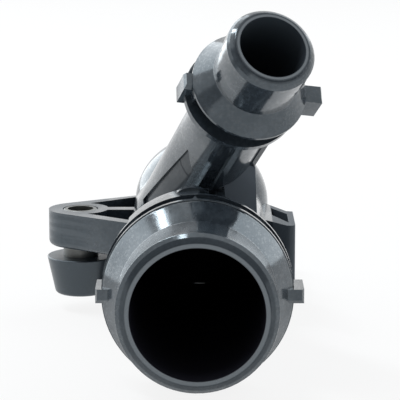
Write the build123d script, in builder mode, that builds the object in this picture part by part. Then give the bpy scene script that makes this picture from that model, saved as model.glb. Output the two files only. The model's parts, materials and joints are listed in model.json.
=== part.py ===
from build123d import *
import os
from dataclasses import dataclass
from math import cos, radians, sin


# Coolant flange of an engine: one moulded housing with a large and a small quick connector,
# a bolted ear on a steel sleeve with a tapered spacer, and a port that seals on the engine.
# All lengths are millimetres. The origin is the centre of the port on the engine's face,
# +Z points away from the engine along the bolts, and the large connector points to -Y.


@dataclass
class Connector:
    """A quick connector spigot. Distances along it are measured from its mouth."""

    bore_radius: float
    face_radius: float
    lip_radius: float
    lip_end: float
    seal_radius: float
    seal_start: float
    seal_end: float
    neck_radius: float
    neck_start: float
    ramp_start: float
    ramp_radius: float
    ramp_end: float
    rim_radius: float
    rim_start: float
    rim_end: float
    groove_radius: float
    flange_start: float
    flange_radius: float
    flange_end: float
    lug_reach: float
    lug_shift: float
    lug_height: float
    lug_start: float
    lug_end: float
    bridge_angle: float

    def corners(self):
        """Corners of the outside from mouth to rear flange, as radius, distance and rounding."""
        tip = [
            (self.face_radius, 0, lip_rounding),
            (self.lip_radius, self.lip_end, 0),
            (self.seal_radius, self.seal_start, edge_radius),
        ]
        neck = [
            (self.seal_radius, self.seal_end, 0),
            (self.neck_radius, self.neck_start, 0),
        ]
        rear = [
            (self.neck_radius, self.ramp_start, edge_radius),
            (self.ramp_radius, self.ramp_end, edge_radius),
            (self.rim_radius, self.rim_start, 0),
            (self.rim_radius, self.rim_end, 0),
            (self.groove_radius, self.rim_end, 0),
            (self.groove_radius, self.flange_start, 0),
            (self.flange_radius, self.flange_start, 0),
            (self.flange_radius, self.flange_end, 0),
        ]
        return tip + rear if self.neck_radius == self.seal_radius else tip + neck + rear


# Large connector, for a hose coupling of 32 mm bore
large = Connector(
    bore_radius=16.0,
    face_radius=17.3,
    lip_radius=18.5,
    lip_end=0.9,
    seal_radius=19.4,
    seal_start=1.8,
    seal_end=14.8,
    neck_radius=19.4,
    neck_start=14.8,
    ramp_start=14.8,
    ramp_radius=23.0,
    ramp_end=20.2,
    rim_radius=23.45,
    rim_start=21.0,
    rim_end=22.5,
    groove_radius=19.5,
    flange_start=26.4,
    flange_radius=23.65,
    flange_end=28.0,
    lug_reach=25.3,
    lug_shift=0.5,
    lug_height=3.6,
    lug_start=18.4,
    lug_end=29.2,
    bridge_angle=22.0,
)

# Small connector, for a hose coupling of 16 mm bore
small = Connector(
    bore_radius=8.0,
    face_radius=9.2,
    lip_radius=10.2,
    lip_end=1.0,
    seal_radius=10.75,
    seal_start=1.8,
    seal_end=5.8,
    neck_radius=10.45,
    neck_start=6.1,
    ramp_start=14.0,
    ramp_radius=14.0,
    ramp_end=18.7,
    rim_radius=14.25,
    rim_start=19.0,
    rim_end=19.7,
    groove_radius=11.0,
    flange_start=23.5,
    flange_radius=13.5,
    flange_end=25.0,
    lug_reach=17.4,
    lug_shift=1.3,
    lug_height=4.0,
    lug_start=19.3,
    lug_end=27.0,
    bridge_angle=34.0,
)

# Extra bridges across the large connector's clip groove, one on each side of its top
side_bridge_left = 133.0
side_bridge_right = 48.3
side_bridge_angle = 8.0

# Thin slot that parts the large connector's ramp from its rim
rim_slot_radius = 22.2

# Small connector's rear flange, which is a little off centre
flange_shift_x = -1.3
flange_shift_y = -0.7
shifted_flange_radius = 13.7

# Main duct, which runs level from the large connector back over the port
axis_height = 19.0
duct_offset = -0.9
duct_wall = 2.8
mouth_reach = 116.0

# Branch duct, which rises over the main duct to the small connector
branch_elevation = 36.0
branch_azimuth = 19.3
branch_roll = -9.5
branch_length = 65.8
branch_setback = 54.8
branch_rise = 22.9
branch_wall = 2.3
branch_sunk_length = 24.0

# Shallow recess in the branch duct's left flank. Its slanted upper edge runs from a tip
# near the small connector down to the side ear
recess_floor_radius = 9.5
recess_tip = 44.2
recess_tip_angle = 59.0
recess_tip_width = 2.0
recess_end = 83.5
recess_end_angle = 88.0
recess_step = 50.0
recess_step_angle = 36.0

# Chamber over the port
port_radius = 15.8
chamber_wall = 3.2
dome_rise = 4.2

# Engine face with its register rim and seal groove
register_radius = 18.4
register_length = 4.3
register_chamfer = 1.0
seat_radius = 25.8
seat_thickness = 6.5
groove_inner_radius = 19.7
groove_width = 3.6
groove_depth = 2.4
seal_width = 3.0
seal_lip = 1.6
seal_stand = 0.6

# Bolts, steel sleeves and the eyes that hold them
eye_radius = 8.9
sleeve_bore_radius = 3.6
sleeve_outer_radius = 4.9
sleeve_chamfer = 0.4
fit_clearance = 0.05
side_eye_x = -34.0
side_eye_y = -12.9
rear_eye_x = 15.0
rear_eye_y = 30.0
rear_eye_height = 10.0

# Side ear, a cored plate whose middle lies on the mould's parting plane
plate_thickness = 10.0
plate_root_x = -18.0
plate_root_front = -34.7
plate_root_back = 7.0
plate_edge_radius = 1.4
pocket_floor = 2.0
pocket_front_rim = 4.2
pocket_back_rim = 2.3
pocket_hub_radius = 7.9
ear_rib = 3.8

# Tapered spacer on the sleeve, between the side ear and the engine
spacer_height = 10.7
spacer_top_radius = 9.5
spacer_bottom_radius = 7.2
spacer_edge_radius = 1.2

# Cored block on the other side of the main duct
block_right = 25.4
block_front = -40.0
block_back = -17.4
block_corner_x = 23.6
block_corner_y = -16.7
block_root_front = -29.7
block_root_back = -5.0
block_bottom = 6.0
block_edge_radius = 1.5
block_side_wall = 1.7
block_root_wall = 1.6
block_pocket_front = -32.6
block_pocket_root_front = -22.3
block_pocket_back = -20.9
block_pocket_root_back = -12.4

# Webs and ribs between the two ducts
web_thickness = 2.5
web_setback = 69.5
web_left = 5.7
web_right = 14.7
web_top_right = 13.6
web_top = 46.0
tie_rib_x = 4.9
tie_rib_width = 2.0
tie_rib_rise = 21.4

# Saddle behind the large connector's rear flange, on the side ear's side of the top, and its ridge
saddle_start_angle = 89.0
saddle_end_angle = 137.0
saddle_radius = 23.35
saddle_end = 36.4
ridge_radius = 5.8
ridge_x = -2.4
ridge_rise = 18.3
ridge_length = 3.2

# Ribs along the underside of the branch duct, and a broader one on its right flank
branch_rib_angles = (-23.5, 1.0)
branch_rib_thickness = 1.5
branch_rib_height = 1.2
branch_rib_length = 44.0
flank_rib_angle = 72.0
flank_rib_thickness = 6.0
flank_rib_height = 0.8
flank_rib_length = 24.0

# Small wedge across the large connector's clip groove
nub_x = -0.6
nub_width = 1.3
nub_rise = 3.9

# Rounding of the turned outlines
edge_radius = 0.3
lip_rounding = 0.5
overlap = 0.3

# Values that follow from the ones above
duct_outer_radius = large.bore_radius + duct_wall
branch_outer_radius = small.bore_radius + branch_wall
chamber_radius = port_radius + chamber_wall
dome_height = axis_height + dome_rise
plate_bottom = axis_height - plate_thickness / 2
plate_top = axis_height + plate_thickness / 2

wedge_reach = branch_outer_radius + small.bore_radius
rim_slot_end = large.rim_start
rim_slot_start = large.ramp_end + edge_radius
duct_side = duct_offset + duct_outer_radius

# The large connector's mouth: Z out of the mouth, X to the right, Y up
large_mouth = Plane(origin=(duct_offset, -mouth_reach, axis_height), x_dir=(1, 0, 0), z_dir=(0, -1, 0))

# The small connector's mouth, on the branch axis, turned about it so that X runs through the lugs
branch_direction = Vector(
    sin(radians(branch_azimuth)) * cos(radians(branch_elevation)),
    -cos(radians(branch_azimuth)) * cos(radians(branch_elevation)),
    sin(radians(branch_elevation)),
)
branch_root = Vector(duct_offset, -branch_setback, axis_height + branch_rise)
branch_level = Vector(cos(radians(branch_azimuth)), sin(radians(branch_azimuth)), 0)
small_mouth = Plane(
    origin=branch_root + branch_direction * branch_length,
    x_dir=branch_level.rotate(Axis((0, 0, 0), branch_direction), branch_roll),
    z_dir=branch_direction,
)


def turned_outline(connector, mouth):
    """Half section of a connector's outside, turned about the mouth's axis."""
    corners = connector.corners()
    half_plane = Plane(origin=mouth.origin, x_dir=mouth.x_dir, z_dir=-mouth.y_dir)
    with BuildSketch(half_plane) as outline:
        with BuildLine():
            outside = FilletPolyline(
                (0, 0),
                *[(radius, -distance) for radius, distance, rounding in corners],
                (0, -connector.flange_end),
                radius=[rounding for radius, distance, rounding in corners],
            )
            Line(outside @ 1, outside @ 0)
        make_face()
    revolve(outline.sketch, axis=Axis(mouth.origin, mouth.z_dir))


def pie_slice(plane, radius, start_angle, angle, length):
    """A slice of a disc that runs back from a plane. Its angles count from the plane's X."""
    with BuildSketch(plane) as pie:
        with BuildLine():
            rim = CenterArc((0, 0), radius, start_angle, angle)
            Line((0, 0), rim @ 0)
            Line(rim @ 1, (0, 0))
        make_face()
    extrude(pie.sketch, amount=-length)


def groove_bridge(connector, mouth, middle_angle, angle):
    """Closes the clip groove round one angle, flush with the rim."""
    pie_slice(
        mouth.offset(-connector.rim_end + overlap),
        connector.rim_radius - overlap,
        middle_angle - angle / 2,
        angle,
        connector.flange_start - connector.rim_end + 2 * overlap,
    )


def side_lugs(connector, mouth):
    """The two lugs that keep a coupling from turning, across the clip groove, and bridges below them."""
    nose = connector.lug_height / 4
    with BuildSketch(mouth.offset(-connector.lug_start)) as lug_front:
        with Locations((connector.lug_shift, nose / 2)):
            Rectangle(2 * connector.lug_reach - nose, connector.lug_height - nose)
    with BuildSketch(mouth.offset(-connector.lug_start - nose)) as lug_shoulder:
        with Locations((connector.lug_shift, 0)):
            Rectangle(2 * connector.lug_reach, connector.lug_height)
    loft(sections=[lug_front.sketch, lug_shoulder.sketch])
    extrude(lug_shoulder.sketch, amount=-(connector.lug_end - connector.lug_start - nose))
    groove_bridge(connector, mouth, 0, connector.bridge_angle)
    groove_bridge(connector, mouth, 180, connector.bridge_angle)


def cored_plate():
    """The side ear's plate with its two pockets, a hub round the sleeve and a rib between."""
    root_length = plate_root_back - plate_root_front
    root_middle = (plate_root_back + plate_root_front) / 2
    root_depth = duct_outer_radius / 2
    with BuildPart() as plate:
        with BuildSketch(Plane.XY.offset(plate_bottom)):
            with Locations((side_eye_x, side_eye_y)):
                Circle(eye_radius)
            with Locations((plate_root_x + root_depth / 2, root_middle)):
                Rectangle(root_depth, root_length)
            make_hull()
        extrude(amount=plate_thickness)
        fillet(plate.faces().sort_by(Axis.Z)[0].edges(), plate_edge_radius)
        with BuildSketch(Plane.XY.offset(plate_top)) as pockets:
            with Locations((side_eye_x, side_eye_y)):
                Circle(eye_radius - pocket_front_rim)
            pocket_front = plate_root_front + pocket_front_rim
            pocket_back = plate_root_back - pocket_back_rim
            with Locations((plate_root_x + root_depth / 2, (pocket_front + pocket_back) / 2)):
                Rectangle(root_depth, pocket_back - pocket_front)
            make_hull()
            with Locations((side_eye_x, side_eye_y)):
                Circle(pocket_hub_radius, mode=Mode.SUBTRACT)
            with Locations((plate_root_x / 2 + side_eye_x / 2, side_eye_y)):
                Rectangle(2 * (plate_root_x - side_eye_x), ear_rib, mode=Mode.SUBTRACT)
        extrude(pockets.sketch, amount=-(plate_thickness - pocket_floor), mode=Mode.SUBTRACT)
    return plate.part


def cored_block():
    """The block on the other side of the duct, cored from the top."""
    with BuildPart() as block:
        with BuildSketch(Plane.XY.offset(block_bottom)):
            with BuildLine():
                Polyline(
                    (duct_offset, block_root_front),
                    (duct_side, block_root_front),
                    (block_right, block_front),
                    (block_right, block_back),
                    (block_corner_x, block_corner_y),
                    (duct_side, block_root_back),
                    (duct_offset, block_root_back),
                    close=True,
                )
            make_face()
        extrude(amount=plate_top - block_bottom)
        outer_edge = block.edges().filter_by(Axis.Z).group_by(Axis.X)[-1].group_by(Axis.Y)[0]
        fillet(outer_edge, block_edge_radius)
        with BuildSketch(Plane.XY.offset(plate_top)) as pocket:
            with BuildLine():
                Polyline(
                    (duct_side + block_root_wall, block_pocket_root_front),
                    (block_right - block_side_wall, block_pocket_front),
                    (block_right - block_side_wall, block_pocket_back),
                    (duct_side + block_root_wall, block_pocket_root_back),
                    close=True,
                )
            make_face()
        extrude(pocket.sketch, amount=-(plate_top - block_bottom - pocket_floor), mode=Mode.SUBTRACT)
    return block.part


def wedge(low_angle, high_angle):
    """A triangle out from the branch's axis. Its angles count from the underside to the left."""
    with BuildLine() as border:
        Polyline(
            (0, 0),
            (-wedge_reach * sin(radians(low_angle)), -wedge_reach * cos(radians(low_angle))),
            (-wedge_reach * sin(radians(high_angle)), -wedge_reach * cos(radians(high_angle))),
            close=True,
        )
    make_face(border.edges())


def flank_recess():
    """Body of the branch duct's shallow recess, from its floor outwards."""
    slope = (recess_end_angle - recess_tip_angle) / (recess_end - recess_tip)
    step_top_angle = recess_tip_angle + slope * (recess_step - recess_tip)
    with BuildPart() as recess:
        with BuildSketch(small_mouth.offset(-recess_tip)) as tip:
            wedge(recess_tip_angle - recess_tip_width, recess_tip_angle)
        with BuildSketch(small_mouth.offset(-recess_step)) as step:
            wedge(recess_step_angle, step_top_angle)
        with BuildSketch(small_mouth.offset(-recess_end)) as end:
            wedge(recess_step_angle, recess_end_angle)
        loft(sections=[tip.sketch, step.sketch, end.sketch], ruled=True)
        with BuildSketch(small_mouth) as core:
            Circle(recess_floor_radius)
        extrude(core.sketch, amount=-(recess_end + overlap), mode=Mode.SUBTRACT)
    return recess.part


def sleeve_tube(height, place):
    """A steel sleeve that stands on the engine and takes the bolt's load through an eye."""
    with BuildSketch(Plane.XY) as ring:
        with Locations(place):
            Circle(sleeve_outer_radius)
            Circle(sleeve_bore_radius, mode=Mode.SUBTRACT)
    extrude(ring.sketch, amount=height)


side_ear = cored_plate()
side_block = cored_block()
branch_recess = flank_recess()

# The moulded housing
with BuildPart() as housing:
    # Branch duct with its recess, then the small connector
    with BuildSketch(small_mouth.offset(-small.flange_end + overlap)) as branch_section:
        Circle(branch_outer_radius)
    extrude(
        branch_section.sketch,
        amount=-(branch_length + branch_sunk_length - small.flange_end + overlap),
    )
    add(branch_recess, mode=Mode.SUBTRACT)
    turned_outline(small, small_mouth)
    with BuildSketch(small_mouth.offset(-small.flange_start)) as small_flange:
        Circle(small.flange_radius)
        with Locations((flange_shift_x, flange_shift_y)):
            Circle(shifted_flange_radius)
        make_hull()
    extrude(small_flange.sketch, amount=-(small.flange_end - small.flange_start))
    side_lugs(small, small_mouth)

    # Ribs along the underside and the right flank of the branch duct
    with BuildSketch(small_mouth.offset(-small.flange_end + overlap)) as rib_sections:
        rib_reach = branch_outer_radius + branch_rib_height
        for rib_angle in branch_rib_angles:
            with PolarLocations(rib_reach / 2, 1, start_angle=rib_angle - 90):
                Rectangle(rib_reach, branch_rib_thickness)
    extrude(rib_sections.sketch, amount=-branch_rib_length)
    with BuildSketch(small_mouth.offset(-small.flange_end + overlap)) as flank_rib:
        flank_reach = branch_outer_radius + flank_rib_height
        with PolarLocations(flank_reach / 2, 1, start_angle=flank_rib_angle - 90):
            Rectangle(flank_reach, flank_rib_thickness)
    extrude(flank_rib.sketch, amount=-flank_rib_length)

    # Large connector with the slot in front of its rim, its lugs and its bridges
    turned_outline(large, large_mouth)
    with BuildSketch(large_mouth.offset(-rim_slot_start)) as rim_slot:
        Circle(large.rim_radius)
        Circle(rim_slot_radius, mode=Mode.SUBTRACT)
    extrude(rim_slot.sketch, amount=-(rim_slot_end - rim_slot_start), mode=Mode.SUBTRACT)
    side_lugs(large, large_mouth)
    groove_bridge(large, large_mouth, side_bridge_left, side_bridge_angle)
    groove_bridge(large, large_mouth, side_bridge_right, side_bridge_angle)

    # Wedge across the clip groove at the top of the large connector, pointed at the flange
    with BuildSketch(Plane.XY.offset(axis_height + large.groove_radius - overlap)) as nub:
        with BuildLine():
            Polyline(
                (duct_offset + nub_x - nub_width / 2, -mouth_reach + large.rim_end - overlap),
                (duct_offset + nub_x + nub_width / 2, -mouth_reach + large.rim_end - overlap),
                (duct_offset + nub_x, -mouth_reach + large.flange_start + overlap),
                close=True,
            )
        make_face()
    extrude(nub.sketch, amount=nub_rise + overlap)

    # Main duct from the large connector's rear flange to the middle of the port
    with BuildSketch(large_mouth.offset(-large.flange_end + overlap)) as duct_section:
        Circle(duct_outer_radius)
    extrude(duct_section.sketch, amount=-(mouth_reach - large.flange_end + overlap))

    # Saddle behind the rear flange, with its ridge
    pie_slice(
        large_mouth.offset(-large.flange_end + overlap),
        saddle_radius,
        saddle_start_angle,
        saddle_end_angle - saddle_start_angle,
        saddle_end - large.flange_end + overlap,
    )
    with BuildSketch(large_mouth.offset(ridge_length - saddle_end)) as ridge:
        with Locations((ridge_x - duct_offset, ridge_rise)):
            Circle(ridge_radius)
    extrude(ridge.sketch, amount=-ridge_length)

    # Side ear and the block on the other side
    add(side_ear)
    add(side_block)

    # Chamber with its dome over the port and the register rim below, and the seat on the engine
    with BuildSketch(Plane.XZ) as chamber_half:
        with BuildLine():
            Polyline(
                (0, dome_height + chamber_radius),
                (0, -register_length),
                (register_radius - register_chamfer, -register_length),
                (register_radius, -register_length + register_chamfer),
                (register_radius, 0),
                (chamber_radius, 0),
                (chamber_radius, dome_height),
            )
            RadiusArc((chamber_radius, dome_height), (0, dome_height + chamber_radius), -chamber_radius)
        make_face()
    revolve(chamber_half.sketch, axis=Axis.Z)
    with BuildSketch(Plane.XY) as seat_outline:
        Circle(seat_radius)
        with Locations((rear_eye_x, rear_eye_y)):
            Circle(eye_radius)
        make_hull()
    extrude(seat_outline.sketch, amount=seat_thickness)
    with BuildSketch(Plane.XY) as rear_eye:
        with Locations((rear_eye_x, rear_eye_y)):
            Circle(eye_radius)
    extrude(rear_eye.sketch, amount=rear_eye_height)

    # Cross web and tie rib between the two ducts
    with BuildSketch(Plane.XZ.offset(web_setback)) as web:
        with BuildLine():
            Polyline(
                (web_left, axis_height),
                (web_right, axis_height),
                (web_top_right, web_top),
                (web_left, web_top),
                close=True,
            )
        make_face()
    extrude(web.sketch, amount=-web_thickness)
    with BuildSketch(Plane.XZ.offset(mouth_reach - large.flange_end + overlap)) as tie_rib:
        with Locations((tie_rib_x, axis_height + tie_rib_rise / 2)):
            Rectangle(tie_rib_width, tie_rib_rise)
    extrude(tie_rib.sketch, amount=-(mouth_reach - large.flange_end - web_setback + 2 * overlap))

    # Bores: the port with its dome, the main duct, and the branch duct
    with BuildSketch(Plane.XZ) as port_half:
        with BuildLine():
            Polyline(
                (0, dome_height + port_radius),
                (0, -register_length),
                (port_radius, -register_length),
                (port_radius, dome_height),
            )
            RadiusArc((port_radius, dome_height), (0, dome_height + port_radius), -port_radius)
        make_face()
    revolve(port_half.sketch, axis=Axis.Z, mode=Mode.SUBTRACT)
    with BuildSketch(large_mouth) as main_bore:
        Circle(large.bore_radius)
    extrude(main_bore.sketch, amount=-mouth_reach, mode=Mode.SUBTRACT)
    with BuildSketch(small_mouth) as branch_bore:
        Circle(small.bore_radius)
    bore_depth = branch_length + branch_sunk_length - 2 * branch_wall
    extrude(branch_bore.sketch, amount=-bore_depth, mode=Mode.SUBTRACT)

    # Groove for the face seal, and the holes for the sleeves
    with BuildSketch(Plane.XY) as seal_groove:
        Circle(groove_inner_radius + groove_width)
        Circle(groove_inner_radius, mode=Mode.SUBTRACT)
    extrude(seal_groove.sketch, amount=groove_depth, mode=Mode.SUBTRACT)
    with BuildSketch(Plane.XY) as sleeve_holes:
        with Locations((side_eye_x, side_eye_y), (rear_eye_x, rear_eye_y)):
            Circle(sleeve_outer_radius + fit_clearance)
    extrude(sleeve_holes.sketch, amount=plate_top, mode=Mode.SUBTRACT)
housing.part.label = "housing"

# Steel sleeves: the long one also carries the spacer
with BuildPart() as side_sleeve:
    sleeve_tube(plate_top, (side_eye_x, side_eye_y))
    side_sleeve_ends = side_sleeve.edges().filter_by(GeomType.CIRCLE).group_by(SortBy.RADIUS)[-1]
    chamfer(side_sleeve_ends, sleeve_chamfer)
side_sleeve.part.label = "side_sleeve"
with BuildPart() as rear_sleeve:
    sleeve_tube(rear_eye_height, (rear_eye_x, rear_eye_y))
    rear_sleeve_ends = rear_sleeve.edges().filter_by(GeomType.CIRCLE).group_by(SortBy.RADIUS)[-1]
    chamfer(rear_sleeve_ends, sleeve_chamfer)
rear_sleeve.part.label = "rear_sleeve"

# Tapered spacer, pushed on the lower end of the long sleeve
with BuildPart() as ear_spacer:
    with BuildSketch(Plane.XZ.offset(-side_eye_y)):
        with BuildLine():
            bore_side = side_eye_x + sleeve_outer_radius + fit_clearance
            rim = FilletPolyline(
                (bore_side, 0),
                (side_eye_x + spacer_bottom_radius, 0),
                (side_eye_x + spacer_top_radius, spacer_height),
                (bore_side, spacer_height),
                radius=[spacer_edge_radius, edge_radius],
            )
            Line(rim @ 1, rim @ 0)
        make_face()
    revolve(axis=Axis((side_eye_x, side_eye_y, 0), (0, 0, 1)))
ear_spacer.part.label = "ear_spacer"

# Face seal, a moulded ring with a sloped lip that stands a little out of its groove
with BuildPart() as face_seal:
    seal_middle = groove_inner_radius + groove_width / 2
    with BuildSketch(Plane.XZ):
        with BuildLine():
            Polyline(
                (seal_middle - seal_width / 2, groove_depth),
                (seal_middle + seal_width / 2, groove_depth),
                (seal_middle + seal_width / 2, 0),
                (seal_middle + seal_lip / 2, -seal_stand),
                (seal_middle - seal_lip / 2, -seal_stand),
                (seal_middle - seal_width / 2, 0),
                close=True,
            )
        make_face()
    revolve(axis=Axis.Z)
face_seal.part.label = "face_seal"

os.makedirs("parts", exist_ok=True)
export_step(housing.part, "parts/housing.step")
export_step(side_sleeve.part, "parts/side_sleeve.step")
export_step(rear_sleeve.part, "parts/rear_sleeve.step")
export_step(ear_spacer.part, "parts/ear_spacer.step")
export_step(face_seal.part, "parts/face_seal.step")
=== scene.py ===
"""Finishes, studio and camera for a moulded coolant flange, laid out as a Blender add-on."""

import json
from dataclasses import dataclass
from math import cos, pi, radians, sin, tan

import bpy
import bmesh
from mathutils import Matrix, Quaternion, Vector


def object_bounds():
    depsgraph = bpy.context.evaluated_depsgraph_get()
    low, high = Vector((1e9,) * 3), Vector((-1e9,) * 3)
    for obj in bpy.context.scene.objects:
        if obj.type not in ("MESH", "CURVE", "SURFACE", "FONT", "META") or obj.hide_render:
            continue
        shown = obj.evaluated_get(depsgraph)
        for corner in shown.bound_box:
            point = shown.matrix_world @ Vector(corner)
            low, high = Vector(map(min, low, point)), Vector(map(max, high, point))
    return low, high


bl_info = {
    "name": "Coolant Flange Finish",
    "version": (1, 0, 0),
    "blender": (4, 5, 0),
    "location": "View3D > Sidebar > Flange",
    "description": "Gives a moulded coolant flange its finishes, a pale studio and a camera",
    "category": "Object",
}

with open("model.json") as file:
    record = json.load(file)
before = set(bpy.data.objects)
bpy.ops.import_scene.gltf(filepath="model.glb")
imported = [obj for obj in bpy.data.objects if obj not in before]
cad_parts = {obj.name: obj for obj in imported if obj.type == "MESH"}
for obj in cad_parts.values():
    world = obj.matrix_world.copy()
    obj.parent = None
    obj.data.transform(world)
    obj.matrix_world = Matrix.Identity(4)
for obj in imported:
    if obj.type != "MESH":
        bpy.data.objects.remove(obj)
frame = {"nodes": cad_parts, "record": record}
CAD_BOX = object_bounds()


def find_mount(name):
    """One of the record's mounts."""
    for mount in frame["record"]["mounts"]:
        if mount["name"] == name:
            return mount
    raise RuntimeError(f"the record has no mount named {name}")


def mount_radius(name):
    """Radius of one of the record's bores or pins, in metres."""
    return find_mount(name)["dims"]["r_mm"] / 1000


class Value:
    """A shader socket that sums and products work on. Each operator adds its Math node."""

    def __init__(self, nodes, socket):
        self.nodes = nodes
        self.socket = socket

    def __add__(self, other):
        return self.nodes.math("ADD", self, other)

    __radd__ = __add__

    def __mul__(self, other):
        return self.nodes.math("MULTIPLY", self, other)

    __rmul__ = __mul__

    def __sub__(self, other):
        return self.nodes.math("SUBTRACT", self, other)

    def __rsub__(self, other):
        return self.nodes.math("SUBTRACT", other, self)

    def step_up(self, start, end):
        """0 below start, 1 above end, and a smooth rise between them."""
        settings = {"interpolation_type": "SMOOTHSTEP"}
        inputs = {"Value": self, "From Min": start, "From Max": end}
        return self.nodes.node("ShaderNodeMapRange", settings, inputs)


class Nodes:
    """A node tree, and the one method that adds nodes to it."""

    def __init__(self, tree):
        self.tree = tree

    def node(self, kind, settings=None, inputs=None, output=0):
        """One node: its settings come first, then the values or links of its sockets."""
        made = self.tree.nodes.new(kind)
        for name, setting in (settings or {}).items():
            setattr(made, name, setting)
        for name, value in (inputs or {}).items():
            self.feed(made.inputs[name], value)
        return Value(self, made.outputs[output])

    def feed(self, socket, value):
        """Links a socket to a Value, or sets it to a number or colour."""
        if isinstance(value, Value):
            self.tree.links.new(value.socket, socket)
        else:
            socket.default_value = value

    def math(self, operation, *parts):
        """One Math node on values and numbers."""
        return self.node("ShaderNodeMath", {"operation": operation}, dict(enumerate(parts)))

    def vector(self, operation, *parts, output="Vector"):
        """One Vector Math node."""
        settings = {"operation": operation}
        return self.node("ShaderNodeVectorMath", settings, dict(enumerate(parts)), output)

    def along(self, vector, axis):
        """How far a point lies along an axis."""
        return self.vector("DOT_PRODUCT", vector, axis, output="Value")

    def mix(self, kind, factor, low, high):
        """A Mix node on colours or vectors, whose sockets share their names and go by number."""
        first, output = {"VECTOR": (4, 1), "RGBA": (6, 2)}[kind]
        inputs = {0: factor, first: low, first + 1: high}
        return self.node("ShaderNodeMix", {"data_type": kind}, inputs, output)

    def seen_directly(self):
        """1 for what the camera sees straight, in a reflection or through glass, 0 for light."""
        path = self.tree.nodes.new("ShaderNodeLightPath")
        seen = Value(self, path.outputs["Is Camera Ray"])
        for name in ("Is Glossy Ray", "Is Transmission Ray"):
            seen = self.math("MAXIMUM", seen, Value(self, path.outputs[name]))
        return seen


def opaque(colour):
    """A colour with full opacity."""
    return (*colour, 1.0)


class Finish(Nodes):
    """A material and the shader nodes in it."""

    def __init__(self, name):
        self.material = bpy.data.materials.new(name)
        self.material.use_nodes = True
        super().__init__(self.material.node_tree)
        self.shader = self.tree.nodes["Principled BSDF"]
        self.place = self.node("ShaderNodeTexCoord", output="Object")

    def set(self, **values):
        """Values of the main shader, by socket name with spaces as underscores."""
        for name, value in values.items():
            self.feed(self.shader.inputs[name.replace("_", " ")], value)

    def show(self, surface):
        """Makes a shader the one that the material shows."""
        self.feed(self.tree.nodes["Material Output"].inputs["Surface"], surface)

    def cover(self, share, other):
        """Shows another shader over the main one, by its share."""
        main = Value(self, self.shader.outputs["BSDF"])
        self.show(self.node("ShaderNodeMixShader", None, {0: share, 1: main, 2: other}))

    def blend(self, mask, low, high):
        """A colour between two others."""
        return self.mix("RGBA", mask, low, high)

    def glow(self, colour):
        """An even light of a colour, at a strength of 1."""
        return self.node("ShaderNodeEmission", None, {"Color": opaque(colour), "Strength": 1.0})

    def bump(self, height, depth, normal=None):
        """A bumped normal from a height of 0 to 1, and the depth in metres that 1 stands for."""
        inputs = {"Height": height, "Distance": depth, "Strength": 1.0}
        if normal is not None:
            inputs["Normal"] = normal
        return self.node("ShaderNodeBump", None, inputs)


@dataclass
class Pattern:
    """Noise with features about as large as size, in metres.

    A squeeze scales the coordinates, so a factor under 1 draws the features out along its axis.
    """

    size: float
    detail: float = 2.0
    roughness: float = 0.5
    squeeze: tuple = ()

    def noise(self, finish):
        """The noise at each point of a finish, centred on a half."""
        place = finish.place
        if self.squeeze:
            place = finish.vector("MULTIPLY", place, self.squeeze)
        inputs = {
            "Vector": place,
            "Scale": 1.0 / self.size,
            "Detail": self.detail,
            "Roughness": self.roughness,
        }
        return finish.node("ShaderNodeTexNoise", None, inputs)


@dataclass
class RoundZone:
    """A round stretch of the object about the axis of a mount, in metres.

    The ends are measured from the mount along its axis, which points out of the opening.
    """

    mount: str
    radius: float
    blur: float
    inner_end: float = -1.0
    outer_end: float = 1.0
    hole: float = 0.0
    strength: float = 1.0

    def offset(self, finish):
        """From the mount to the point."""
        centre = Vector(find_mount(self.mount)["pos_m"])
        return finish.vector("SUBTRACT", finish.place, centre)

    def axis(self):
        """The axis of the mount."""
        return Vector(find_mount(self.mount)["axis"]).normalized()

    def mask(self, finish):
        """1 between the hole and the radius and between the ends, and 0 elsewhere."""
        offset = self.offset(finish)
        across = finish.vector("CROSS_PRODUCT", offset, self.axis())
        distance = finish.vector("LENGTH", across, output="Value")
        within = 1 - distance.step_up(self.radius - self.blur, self.radius + self.blur)
        if self.hole:
            within = within * distance.step_up(self.hole - self.blur, self.hole + self.blur)
        along = finish.along(offset, self.axis())
        within = within * along.step_up(self.inner_end, self.inner_end + self.blur)
        if self.outer_end < 1.0:
            within = within * (1 - along.step_up(self.outer_end - self.blur, self.outer_end))
        return within


@dataclass
class BoxZone:
    """A block of the object between two corners, in metres."""

    low: tuple
    high: tuple
    blur: float
    strength: float = 1.0

    def mask(self, finish):
        """1 inside the box, and 0 outside it."""
        mask = 1.0
        for axis, low, high in zip(Matrix.Identity(3), self.low, self.high):
            along = finish.along(finish.place, axis)
            mask = mask * along.step_up(low, low + self.blur)
            mask = mask * (1 - along.step_up(high - self.blur, high))
        return mask


def wear(piece, material):
    """Gives every face of a piece one material."""
    piece.data.materials.clear()
    piece.data.materials.append(material)
    for face in piece.data.polygons:
        face.material_index = 0


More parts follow.
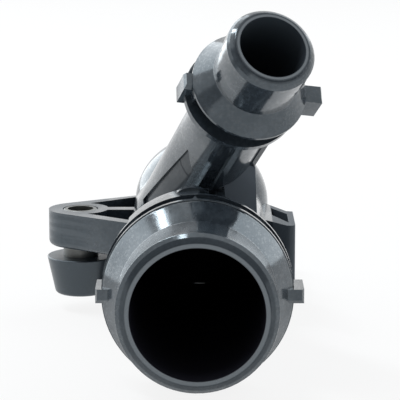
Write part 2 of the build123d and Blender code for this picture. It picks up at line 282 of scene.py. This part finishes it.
class NylonSettings(bpy.types.PropertyGroup):
    """Black glass-filled nylon of the housing and the spacer."""

    colour: bpy.props.FloatVectorProperty(
        name="Colour",
        description="Colour of the nylon",
        default=(0.026, 0.033, 0.041),
        size=3,
        min=0.0,
        max=1.0,
        subtype="COLOR",
    )
    pale_colour: bpy.props.FloatVectorProperty(
        name="Pale colour",
        description="Colour where fibres lie near the surface",
        default=(0.042, 0.053, 0.065),
        size=3,
        min=0.0,
        max=1.0,
        subtype="COLOR",
    )
    sheen_colour: bpy.props.FloatVectorProperty(
        name="Reflection colour",
        description="Cool tint of what the nylon reflects",
        default=(0.80, 0.92, 1.0),
        size=3,
        min=0.0,
        max=1.0,
        subtype="COLOR",
    )
    polished: bpy.props.FloatProperty(
        name="Polished roughness",
        description="Roughness of the two polished connectors and their ducts",
        default=0.13,
        min=0.0,
        max=1.0,
        subtype="FACTOR",
    )
    satin: bpy.props.FloatProperty(
        name="Satin roughness",
        description="Roughness of the ear, the block and the spacer",
        default=0.34,
        min=0.0,
        max=1.0,
        subtype="FACTOR",
    )
    grain: bpy.props.FloatProperty(
        name="Grain",
        description="Size of the skin's grain",
        default=0.0005,
        min=0.0001,
        max=0.01,
        unit="LENGTH",
    )
    grain_depth: bpy.props.FloatProperty(
        name="Grain depth",
        description="Depth of the skin's grain",
        default=0.000008,
        min=0.0,
        max=0.001,
        unit="LENGTH",
    )


class HousingSettings(bpy.types.PropertyGroup):
    """Places where the housing looks unlike plain nylon: draw lines, and painted light and shade
    round the mouths, in the bores, on the gusset and on the block.
    """

    # Painted highlight: pale glossy rings round the two mouths stand in for the reflection on their
    # rounded lips.
    highlight_ring_colour: bpy.props.FloatVectorProperty(
        name="Edge colour",
        description="Colour of the rubbed rings round the two mouths",
        default=(0.085, 0.10, 0.115),
        size=3,
        min=0.0,
        max=1.0,
        subtype="COLOR",
    )
    lines: bpy.props.FloatProperty(
        name="Draw lines",
        description="Strength of the fine draw lines on the ear",
        default=1.0,
        min=0.0,
        max=1.0,
        subtype="FACTOR",
    )
    # Painted shade: this tone under a dull cover takes the gloss off the block beside the port,
    # darkening its top.
    block_shade_colour: bpy.props.FloatVectorProperty(
        name="Block colour",
        description="Colour of the duller block",
        default=(0.068, 0.080, 0.094),
        size=3,
        min=0.0,
        max=1.0,
        subtype="COLOR",
    )
    # Painted light: a tone far paler than the nylon, lightening the front of the gusset that lies
    # in shade between the ducts.
    gusset_light_colour: bpy.props.FloatVectorProperty(
        name="Gusset colour",
        description="Colour of the duller gusset between the two ducts",
        default=(0.19, 0.22, 0.255),
        size=3,
        min=0.0,
        max=1.0,
        subtype="COLOR",
    )
    # Painted shade: a dark tone under a dull cover, darkening the walls inside the large duct and
    # the port.
    large_bore_shade_colour: bpy.props.FloatVectorProperty(
        name="Large bore colour",
        description="Colour of the walls inside the large duct and the port",
        default=(0.016, 0.016, 0.023),
        size=3,
        min=0.0,
        max=1.0,
        subtype="COLOR",
    )
    # Painted shade: a tone under a dull cover, taking the gloss off the walls inside the small
    # duct.
    small_bore_shade_colour: bpy.props.FloatVectorProperty(
        name="Small bore colour",
        description="Colour of the walls inside the small duct",
        default=(0.045, 0.056, 0.068),
        size=3,
        min=0.0,
        max=1.0,
        subtype="COLOR",
    )
    dull_roughness: bpy.props.FloatProperty(
        name="Dull roughness",
        description="Roughness inside the ducts and in the other dull places",
        default=0.5,
        min=0.0,
        max=1.0,
        subtype="FACTOR",
    )


class SteelSettings(bpy.types.PropertyGroup):
    """Zinc-plated steel of the sleeves."""

    colour: bpy.props.FloatVectorProperty(
        name="Colour",
        description="Colour of the plating",
        default=(0.17, 0.175, 0.17),
        size=3,
        min=0.0,
        max=1.0,
        subtype="COLOR",
    )
    roughness: bpy.props.FloatProperty(
        name="Roughness",
        description="Roughness of the plating",
        default=0.42,
        min=0.0,
        max=1.0,
        subtype="FACTOR",
    )


class RubberSettings(bpy.types.PropertyGroup):
    """Rubber of the face seal."""

    colour: bpy.props.FloatVectorProperty(
        name="Colour",
        description="Colour of the rubber",
        default=(0.022, 0.022, 0.024),
        size=3,
        min=0.0,
        max=1.0,
        subtype="COLOR",
    )
    roughness: bpy.props.FloatProperty(
        name="Roughness",
        description="Roughness of the rubber",
        default=0.55,
        min=0.0,
        max=1.0,
        subtype="FACTOR",
    )


class StudioSettings(bpy.types.PropertyGroup):
    """Pale floor, soft lamps and the camera."""

    floor_colour: bpy.props.FloatVectorProperty(
        name="Floor",
        description="Colour of the floor",
        default=(0.82, 0.82, 0.82),
        size=3,
        min=0.0,
        max=1.0,
        subtype="COLOR",
    )
    floor_gap: bpy.props.FloatProperty(
        name="Floor gap",
        description="Room between the object and the floor",
        default=0.0001,
        min=0.0,
        unit="LENGTH",
    )
    floor_radius: bpy.props.FloatProperty(
        name="Floor radius",
        description="Radius of the round floor",
        default=2.5,
        min=0.5,
        unit="LENGTH",
    )
    floor_glow: bpy.props.FloatProperty(
        name="Floor glow",
        description="Share of the floor that looks white, the rest keeps the object's shadow",
        default=0.86,
        min=0.0,
        max=1.0,
        subtype="FACTOR",
    )
    surround: bpy.props.FloatProperty(
        name="Surround",
        description="Strength of the soft light from all round",
        default=0.32,
        min=0.0,
    )
    side_level: bpy.props.FloatProperty(
        name="Side lamps",
        description="Brightness of the two large side lamps",
        default=2.1,
        min=0.0,
    )
    strip_level: bpy.props.FloatProperty(
        name="Strip lamp",
        description="Brightness of the narrow lamp over the left of the object",
        default=20.0,
        min=0.0,
    )
    lamp_colour: bpy.props.FloatVectorProperty(
        name="Lamp colour",
        description="Faintly cool colour of the lamps",
        default=(0.90, 0.96, 1.0),
        size=3,
        min=0.0,
        max=1.0,
        subtype="COLOR",
    )
    card_level: bpy.props.FloatProperty(
        name="Grey card",
        description="Brightness of the grey card behind the camera, as gloss shows it",
        default=0.30,
        min=0.0,
        max=1.0,
    )
    camera_distance: bpy.props.FloatProperty(
        name="Camera distance",
        description="From the camera to the point that it looks at",
        default=0.5,
        min=0.1,
        unit="LENGTH",
    )
    camera_elevation: bpy.props.FloatProperty(
        name="Camera elevation",
        description="Angle of the camera above the horizon",
        default=radians(11.0),
        subtype="ANGLE",
    )
    camera_azimuth: bpy.props.FloatProperty(
        name="Camera azimuth",
        description="Angle of the camera round the object",
        default=radians(0.07),
        subtype="ANGLE",
    )
    camera_target: bpy.props.FloatVectorProperty(
        name="Camera target",
        description="Point in the middle of the image",
        default=(-0.00032, -0.0945, 0.04225),
        size=3,
        subtype="TRANSLATION",
        unit="LENGTH",
    )
    lens: bpy.props.FloatProperty(
        name="Lens",
        description="Focal length of the lens in millimetres",
        default=186.75,
        min=10.0,
    )


# Patterns of the nylon: slow clouds, short fibres and the long lines that the mould draws.
CLOUD = Pattern(size=0.012, detail=3.0)
FIBRE = Pattern(size=0.0009, squeeze=(1.0, 0.35, 1.0))
DRAW_LINE = Pattern(size=0.0011, detail=4.0, roughness=0.65, squeeze=(0.05, 0.05, 1.0))
GRAIN_DETAIL = 3.0
SPECK_SIZE = 1.3
SPECK_DETAIL = 1.0

# Levels of the noise between which each pattern fades in.
STREAK_FADE = (0.40, 0.66)
SPECK_FADE = (0.50, 0.72)
CLOUD_FADE = (0.35, 0.70)
LINE_FADE = (0.44, 0.60)

# What the patterns do to the roughness, the glossy coat and the colour.
CLOUD_ROUGHNESS = 0.10
FIBRE_ROUGHNESS = 0.08
LINE_ROUGHNESS = 0.2
SPECK_COAT = 0.45
CLOUD_COAT = 0.45
LINE_COAT = 0.35
SATIN_COAT_LOSS = 0.7
LINE_PALENESS = 0.7

REFLECTION_LEVEL = 0.85
COAT_ROUGHNESS = 0.12
DULL_REFLECTION_LEVEL = 0.12


def nylon_looks(finish, nylon, matt):
    """Colour, roughness and coat of nylon, satin where matt is 1 and polished where it is 0."""
    cloud = CLOUD.noise(finish)
    fibre = FIBRE.noise(finish)
    speck = Pattern(nylon.grain * SPECK_SIZE, detail=SPECK_DETAIL).noise(finish)
    streak = (cloud * 0.5 + fibre * 0.5).step_up(*STREAK_FADE)
    colour = finish.blend(streak, opaque(nylon.colour), opaque(nylon.pale_colour))
    rough = nylon.polished + (cloud - 0.5) * CLOUD_ROUGHNESS + (fibre - 0.5) * FIBRE_ROUGHNESS
    rough = rough + matt * (nylon.satin - nylon.polished)
    gloss = speck.step_up(*SPECK_FADE) * SPECK_COAT + cloud.step_up(*CLOUD_FADE) * CLOUD_COAT
    return colour, rough, gloss * (1 - matt * SATIN_COAT_LOSS)


def set_nylon(finish, nylon, colour, rough, coat, normal=None):
    """Gives the main shader nylon's looks and its fine moulded grain."""
    grain = Pattern(nylon.grain, detail=GRAIN_DETAIL).noise(finish)
    finish.set(
        Base_Color=colour,
        Roughness=rough,
        Specular_IOR_Level=REFLECTION_LEVEL,
        Specular_Tint=opaque(nylon.sheen_colour),
        Coat_Weight=coat,
        Coat_Roughness=COAT_ROUGHNESS,
        Normal=finish.bump(grain, nylon.grain_depth, normal),
    )


def spacer_finish(name, nylon):
    """Satin nylon."""
    finish = Finish(name)
    set_nylon(finish, nylon, *nylon_looks(finish, nylon, matt=1.0))
    return finish.material


@dataclass
class Mouth:
    """The open end of a duct: how deep its bore is dulled as painted shade, and the painted
    highlight and painted shade rings round its edge.
    """

    duct: str
    depth: float
    face_end: float
    highlight_radius: float
    shade_radius: float
    shade_strength: float

    def shaded_bore(self):
        """The wall inside the duct, dulled as painted shade."""
        radius = mount_radius(self.duct) + BORE_MARGIN
        return RoundZone(self.duct, radius, BORE_MARGIN, inner_end=-self.depth)

    def highlight_ring(self):
        """The painted highlight ring round the mouth's edge, a pale glossy ring in place of the
        reflection on the rounded lip.
        """
        return RoundZone(self.duct, self.highlight_radius, RING_BLUR, inner_end=self.face_end)

    def shade_ring(self):
        """The painted shade ring round the highlight ring, a dull ring in place of the dark
        reflection on the lip's outer rounding.
        """
        return RoundZone(
            self.duct,
            self.shade_radius,
            RING_BLUR,
            inner_end=self.face_end,
            hole=self.highlight_radius,
            strength=self.shade_strength,
        )


# Each mouth's painted highlight ring reaches out to its highlight radius, and its painted shade
# ring out to its shade radius.
LARGE_MOUTH = Mouth(
    "large_duct",
    depth=0.100,
    face_end=0.0245,
    highlight_radius=0.0171,
    shade_radius=0.0183,
    shade_strength=0.45,
)
SMALL_MOUTH = Mouth(
    "small_duct",
    depth=0.080,
    face_end=0.0250,
    highlight_radius=0.0087,
    shade_radius=0.0096,
    shade_strength=0.50,
)
BORE_MARGIN = 0.0001
RING_BLUR = 0.0002
PORT_DEPTH = 0.026

# The polished connectors and ducts lie within these distances from their axes.
LARGE_POLISH = RoundZone("large_duct", radius=0.026, blur=0.001)
SMALL_POLISH = RoundZone("small_duct", radius=0.019, blur=0.001)

# The front of the gusset between the ducts, paled as painted light, and the block beside the port,
# dulled as painted shade.
GUSSET_LIGHT = BoxZone((-0.006, -0.0698, 0.030), (0.020, -0.0692, 0.060), blur=0.0001, strength=0.85)
SIDE_BLOCK_SHADE = BoxZone((0.0192, -0.080, -0.010), (0.032, 0.015, 0.030), blur=0.0004, strength=0.85)

# The flat recess in the small duct's left flank, nearer to the axis than the round wall is, dulled
# as painted shade in the recess.
RECESS_SHADE = RoundZone(
    "small_duct",
    radius=0.0100,
    blur=0.0006,
    inner_end=-0.062,
    outer_end=-0.014,
    strength=0.60,
)

# The broad rib on the small duct's right flank, from the round wall to just past its top.
RIB = RoundZone(
    "small_duct",
    radius=0.0122,
    blur=0.0001,
    inner_end=-0.0240,
    outer_end=0.0009,
    hole=0.0106,
)
RIB_DIRECTION = Vector((0.958, 0.143, -0.25))
RIB_FADE = (0.84, 0.90)


def painted_light_and_shade_places(nylon, housing):
    """The zones of painted light and shade on the housing, each with its colour: shade in the port,
    the recess, the block, the bores and the rings at the mouths, and light on the gusset.
    """
    # Painted shade: the port's walls take the large bore's dark tone under the dull cover.
    port = RoundZone("port", mount_radius("port") + BORE_MARGIN, BORE_MARGIN, inner_end=-PORT_DEPTH)
    return (
        (port, housing.large_bore_shade_colour),
        (GUSSET_LIGHT, housing.gusset_light_colour),
        (SIDE_BLOCK_SHADE, housing.block_shade_colour),
        (RECESS_SHADE, nylon.colour),
        (LARGE_MOUTH.shaded_bore(), housing.large_bore_shade_colour),
        (LARGE_MOUTH.shade_ring(), nylon.colour),
        (SMALL_MOUTH.shaded_bore(), housing.small_bore_shade_colour),
        (SMALL_MOUTH.shade_ring(), nylon.colour),
    )


def cover_painted_light_and_shade(finish, nylon, housing):
    """Covers the main shader with a dull one in the zones of painted light and shade, by the
    strength of each.
    """
    share = 0.0
    tone = opaque(nylon.colour)
    for zone, colour in painted_light_and_shade_places(nylon, housing):
        mask = zone.mask(finish)
        tone = finish.blend(mask, tone, opaque(colour))
        share = share + mask * zone.strength * (1 - share)
    # Painted light and shade: a dull shader in each zone's tone. It is paler on the gusset and
    # takes the gloss off the other zones.
    dull = {
        "Base Color": tone,
        "Roughness": housing.dull_roughness,
        "Specular IOR Level": DULL_REFLECTION_LEVEL,
    }
    finish.cover(share, finish.node("ShaderNodeBsdfPrincipled", None, dull))


def rib_rounding(finish):
    """Normals that melt the broad rib on the right flank into the small duct."""
    across = finish.vector("CROSS_PRODUCT", RIB.offset(finish), RIB.axis())
    outwards = finish.vector("CROSS_PRODUCT", RIB.axis(), across)
    outwards = finish.vector("NORMALIZE", outwards)
    side = finish.along(outwards, RIB_DIRECTION).step_up(*RIB_FADE)
    face = finish.node("ShaderNodeNewGeometry", output="Normal")
    return finish.mix("VECTOR", side * RIB.mask(finish), face, outwards)


def satin_mask(finish):
    """0 on the connectors and ducts, and 1 on the ear and the rest."""
    return (1 - LARGE_POLISH.mask(finish)) * (1 - SMALL_POLISH.mask(finish))


def housing_finish(name, nylon, housing):
    """Polished and satin nylon with draw lines, a painted highlight ring at each mouth, and painted
    light and shade in dull places.
    """
    finish = Finish(name)
    matt = satin_mask(finish)
    colour, rough, coat = nylon_looks(finish, nylon, matt)
    line = DRAW_LINE.noise(finish)
    scratch = line.step_up(*LINE_FADE) * matt * housing.lines
    colour = finish.blend(scratch * LINE_PALENESS, colour, opaque(nylon.pale_colour))
    rough = rough + (line - 0.5) * matt * (LINE_ROUGHNESS * housing.lines)
    coat = coat + scratch * LINE_COAT
    # Painted highlight: a pale ring with a full glossy coat round each mouth.
    lip_highlight = LARGE_MOUTH.highlight_ring().mask(finish) + SMALL_MOUTH.highlight_ring().mask(finish)
    colour = finish.blend(lip_highlight, colour, opaque(housing.highlight_ring_colour))
    coat = coat + lip_highlight * (1 - coat)
    set_nylon(finish, nylon, colour, rough, coat, rib_rounding(finish))
    cover_painted_light_and_shade(finish, nylon, housing)
    return finish.material


# Patterns of the plated steel: faint clouds, and turning marks round the bolt.
STEEL_CLOUD = Pattern(size=0.003, detail=3.0)
TURNING_MARK = Pattern(size=0.0012, squeeze=(0.2, 0.2, 6.0))
STEEL_ROUGHNESS_CHANGE = 0.3
MARK_DEPTH = 0.00002


def steel_finish(name, settings):
    """Dull plated steel with fine turning marks round the bolt."""
    finish = Finish(name)
    cloud = STEEL_CLOUD.noise(finish)
    finish.set(
        Base_Color=opaque(settings.colour),
        Metallic=1.0,
        Roughness=settings.roughness + (cloud - 0.5) * STEEL_ROUGHNESS_CHANGE,
        Normal=finish.bump(TURNING_MARK.noise(finish), MARK_DEPTH),
    )
    return finish.material


# The bloom on the rubber, and what it does.
BLOOM = Pattern(size=0.005, detail=4.0)
BLOOM_FADE = (0.45, 0.75)
BLOOM_PALENESS = 1.7
BLOOM_ROUGHNESS = 0.2
BLOOM_DEPTH = 0.00002


def rubber_finish(name, settings):
    """Matt black rubber with a faint bloom."""
    finish = Finish(name)
    bloom = BLOOM.noise(finish)
    pale = [BLOOM_PALENESS * part for part in settings.colour]
    colour = finish.blend(bloom.step_up(*BLOOM_FADE), opaque(settings.colour), opaque(pale))
    finish.set(
        Base_Color=colour,
        Roughness=settings.roughness + (bloom - 0.5) * BLOOM_ROUGHNESS,
        Normal=finish.bump(bloom, BLOOM_DEPTH),
    )
    return finish.material


class FLANGE_OT_housing(bpy.types.Operator):
    """Gives the moulded housing its black nylon, polished, satin and dull, with painted light and
    shade in places
    """

    bl_idname = "flange.finish_housing"
    bl_label = "Finish Housing"

    def execute(self, context):
        scene = context.scene
        material = housing_finish("housing_nylon", scene.flange_nylon, scene.flange_housing)
        wear(frame["nodes"]["housing"], material)
        return {"FINISHED"}


class FLANGE_OT_spacer(bpy.types.Operator):
    """Gives the ear's tapered spacer its satin nylon"""

    bl_idname = "flange.finish_spacer"
    bl_label = "Finish Spacer"

    def execute(self, context):
        material = spacer_finish("spacer_nylon", context.scene.flange_nylon)
        wear(frame["nodes"]["ear_spacer"], material)
        return {"FINISHED"}


class FLANGE_OT_sleeves(bpy.types.Operator):
    """Gives the two steel sleeves their dull plating"""

    bl_idname = "flange.finish_sleeves"
    bl_label = "Finish Sleeves"

    def execute(self, context):
        steel = steel_finish("sleeve_steel", context.scene.flange_steel)
        for node in ("side_sleeve", "rear_sleeve"):
            wear(frame["nodes"][node], steel)
        return {"FINISHED"}


class FLANGE_OT_seal(bpy.types.Operator):
    """Gives the face seal its rubber"""

    bl_idname = "flange.finish_seal"
    bl_label = "Finish Seal"

    def execute(self, context):
        rubber = rubber_finish("seal_rubber", context.scene.flange_rubber)
        wear(frame["nodes"]["face_seal"], rubber)
        return {"FINISHED"}


def direction(azimuth, elevation):
    """From the object outwards. Azimuth 0 is the camera's side and a quarter turn is the right."""
    level = cos(elevation)
    return Vector((sin(azimuth) * level, -cos(azimuth) * level, sin(elevation)))


@dataclass
class LampPlace:
    """Where a lamp stands round the object, and how large it looks from there, in degrees."""

    azimuth: float
    elevation: float
    width: float
    height: float
    roll: float = 0.0
    distance: float = 1.0

    def size(self):
        """Width and height, in metres."""
        return [2 * self.distance * tan(radians(angle) / 2) for angle in (self.width, self.height)]


LEFT_LAMP = LampPlace(azimuth=-134.0, elevation=24.0, width=58.0, height=54.0)
RIGHT_LAMP = LampPlace(azimuth=128.0, elevation=38.0, width=54.0, height=52.0)
STRIP_LAMP = LampPlace(azimuth=-90.7, elevation=66.4, width=42.0, height=5.5, roll=35.0)
GREY_CARD = LampPlace(azimuth=0.0, elevation=24.0, width=132.0, height=84.0)


def set_facing(thing, place, middle):
    """Stands a lamp or card at its place, turned to the object."""
    towards = direction(radians(place.azimuth), radians(place.elevation))
    thing.location = middle + towards * place.distance
    thing.rotation_mode = "QUATERNION"
    roll = Quaternion((0.0, 0.0, 1.0), radians(place.roll))
    thing.rotation_quaternion = towards.to_track_quat("Z", "Y") @ roll
    bpy.context.scene.collection.objects.link(thing)


def soft_lamp(name, place, middle, level, colour):
    """A rectangular lamp of an even brightness, which the camera doesn't see itself."""
    light = bpy.data.lights.new(name, "AREA")
    light.shape = "RECTANGLE"
    light.size, light.size_y = place.size()
    light.energy = level * pi * light.size * light.size_y
    light.color = colour
    lamp = bpy.data.objects.new(name, light)
    lamp.visible_camera = False
    set_facing(lamp, place, middle)


# The floor doesn't glow under the port, where it would show through the bores.
UNDER_PORT = RoundZone("port", radius=0.026, blur=0.003)
WHITE = (1.0, 1.0, 1.0)


def floor_finish(settings):
    """A pale floor that is white away from the object's faint shadow."""
    finish = Finish("pale_floor")
    colour = opaque(settings.floor_colour)
    finish.set(Base_Color=colour, Roughness=0.9, Specular_IOR_Level=0.1)
    share = finish.seen_directly() * settings.floor_glow * (1 - UNDER_PORT.mask(finish))
    finish.cover(share, finish.glow(WHITE))
    return finish.material


def card_finish(level):
    """An even grey glow."""
    finish = Finish("grey_card")
    finish.show(finish.glow((level, level, level)))
    return finish.material


def stage_piece(name, form):
    """A piece of the stage from a bmesh."""
    mesh = bpy.data.meshes.new(name)
    form.to_mesh(mesh)
    form.free()
    piece = bpy.data.objects.new(name, mesh)
    return piece


class FLANGE_OT_studio(bpy.types.Operator):
    """Sets the pale floor, the white surround, the soft lamps and the camera"""

    bl_idname = "flange.set_studio"
    bl_label = "Set Studio"

    def execute(self, context):
        settings = context.scene.flange_studio
        middle = (CAD_BOX[0] + CAD_BOX[1]) / 2
        self.floor(settings)
        self.surround(settings)
        self.lamps(settings, middle)
        self.card(settings, middle)
        self.camera(settings)
        context.scene.view_settings.view_transform = "Standard"
        return {"FINISHED"}

    def floor(self, settings):
        """A round floor just under the object."""
        form = bmesh.new()
        lowest = CAD_BOX[0].z - settings.floor_gap
        bmesh.ops.create_circle(
            form,
            cap_ends=True,
            segments=64,
            radius=settings.floor_radius,
            matrix=Matrix.Translation((0.0, 0.0, lowest)),
        )
        floor = stage_piece("floor", form)
        bpy.context.scene.collection.objects.link(floor)
        wear(floor, floor_finish(settings))

    def card(self, settings, middle):
        """A grey card on the camera's side, which only glossy reflections show."""
        form = bmesh.new()
        bmesh.ops.create_grid(form, size=0.5)
        wide, high = GREY_CARD.size()
        bmesh.ops.scale(form, vec=(wide, high, 1.0), verts=form.verts)
        card = stage_piece("card", form)
        for rays in ("camera", "diffuse", "shadow", "transmission"):
            setattr(card, f"visible_{rays}", False)
        set_facing(card, GREY_CARD, middle)
        wear(card, card_finish(settings.card_level))

    def surround(self, settings):
        """A world that looks white and lights the object softly from all round."""
        world = bpy.data.worlds.new("white_surround")
        world.use_nodes = True
        bpy.context.scene.world = world
        nodes = Nodes(world.node_tree)
        strength = nodes.seen_directly() * (1 - settings.surround) + settings.surround
        back = world.node_tree.nodes["Background"]
        nodes.feed(back.inputs["Color"], opaque(WHITE))
        nodes.feed(back.inputs["Strength"], strength)

    def lamps(self, settings, middle):
        """A large lamp on each side, and a narrow one over the left."""
        colour = settings.lamp_colour
        soft_lamp("left_lamp", LEFT_LAMP, middle, settings.side_level, colour)
        soft_lamp("right_lamp", RIGHT_LAMP, middle, settings.side_level, colour)
        soft_lamp("strip_lamp", STRIP_LAMP, middle, settings.strip_level, colour)

    def camera(self, settings):
        """The camera in front of the object, a little above it."""
        data = bpy.data.cameras.new("camera")
        data.lens = settings.lens
        data.sensor_width = 36.0
        data.clip_start = 0.01
        data.clip_end = 50.0
        camera = bpy.data.objects.new("camera", data)
        back = direction(settings.camera_azimuth, settings.camera_elevation)
        camera.location = Vector(settings.camera_target) + back * settings.camera_distance
        camera.rotation_mode = "QUATERNION"
        camera.rotation_quaternion = (-back).to_track_quat("-Z", "Y")
        bpy.context.scene.collection.objects.link(camera)
        bpy.context.scene.camera = camera


class FLANGE_PT_panel(bpy.types.Panel):
    """Sidebar panel with the flange's steps"""

    bl_idname = "FLANGE_PT_panel"
    bl_label = "Coolant Flange"
    bl_space_type = "VIEW_3D"
    bl_region_type = "UI"
    bl_category = "Flange"

    def draw(self, context):
        for step in STEPS:
            self.layout.operator(step.bl_idname)
        for group, kind in SETTINGS.items():
            self.layout.label(text=kind.__doc__)
            for name in kind.__annotations__:
                self.layout.prop(getattr(context.scene, group), name)


STEPS = (
    FLANGE_OT_housing,
    FLANGE_OT_spacer,
    FLANGE_OT_sleeves,
    FLANGE_OT_seal,
    FLANGE_OT_studio,
)
SETTINGS = {
    "flange_nylon": NylonSettings,
    "flange_housing": HousingSettings,
    "flange_steel": SteelSettings,
    "flange_rubber": RubberSettings,
    "flange_studio": StudioSettings,
}
CLASSES = (*SETTINGS.values(), *STEPS, FLANGE_PT_panel)


def register():
    """Adds the settings, the steps and the panel."""
    for made in CLASSES:
        bpy.utils.register_class(made)
    for name, group in SETTINGS.items():
        setattr(bpy.types.Scene, name, bpy.props.PointerProperty(type=group))


def unregister():
    """Takes them out again."""
    for name in SETTINGS:
        delattr(bpy.types.Scene, name)
    for made in reversed(CLASSES):
        bpy.utils.unregister_class(made)


def main():
    """Makes the scene."""
    register()
    for step in STEPS:
        group, name = step.bl_idname.split(".")
        getattr(getattr(bpy.ops, group), name)()
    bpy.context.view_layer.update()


if __name__ == "__main__":
    main()
